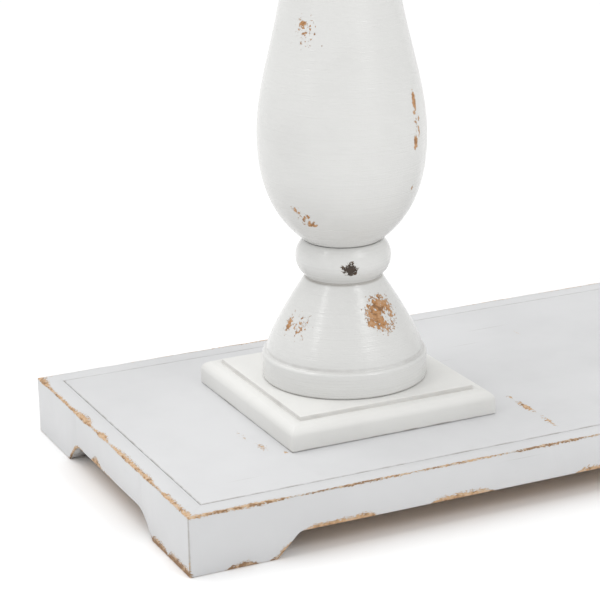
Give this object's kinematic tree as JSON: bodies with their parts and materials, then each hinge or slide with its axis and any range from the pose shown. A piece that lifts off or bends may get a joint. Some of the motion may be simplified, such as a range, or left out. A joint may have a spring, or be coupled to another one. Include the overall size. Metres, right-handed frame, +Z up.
{
  "type": "wooden candle holder",
  "caption": "Long distressed white wooden candle holder: turned baluster columns with spiked dishes for pillar candles, on a low platform with bracket feet.",
  "frame": {"origin": "middle of the platform's footprint, on the surface that it stands on", "axes": "+Z up along the columns, +X along the row of columns to the right as seen from the front, the front faces -Y"},
  "size_m": [0.9144, 0.2286, 0.4093],
  "materials": {
    "platform_paint": "satin white paint over wood, worn through to tan wood along the edges",
    "column_paint": "satin white paint over turned wood, with small chips through to tan and dark wood",
    "bare_wood": "unfinished wood",
    "steel": "zinc-plated steel"
  },
  "bodies": {
    "root": {"apron_front": "platform_paint", "apron_back": "platform_paint", "apron_left": "platform_paint", "apron_right": "platform_paint", "top_panel": "platform_paint", "corner_block_front_left": "bare_wood", "corner_block_front_right": "bare_wood", "corner_block_back_left": "bare_wood", "corner_block_back_right": "bare_wood", "ledger_front": "bare_wood", "ledger_back": "bare_wood", "plinth_left": "column_paint", "foot_turning_left": "column_paint", "vase_turning_left": "column_paint", "cup_turning_left": "column_paint", "candle_spike_left": "steel", "base_bolt_left": "steel", "base_washer_left": "steel", "vase_dowel_left": "bare_wood", "cup_dowel_left": "bare_wood", "plinth_middle": "column_paint", "foot_turning_middle": "column_paint", "vase_turning_middle": "column_paint", "cup_turning_middle": "column_paint", "candle_spike_middle": "steel", "base_bolt_middle": "steel", "base_washer_middle": "steel", "vase_dowel_middle": "bare_wood", "cup_dowel_middle": "bare_wood", "plinth_right": "column_paint", "foot_turning_right": "column_paint", "vase_turning_right": "column_paint", "cup_turning_right": "column_paint", "candle_spike_right": "steel", "base_bolt_right": "steel", "base_washer_right": "steel", "vase_dowel_right": "bare_wood", "cup_dowel_right": "bare_wood"}
  },
  "joints": []
}
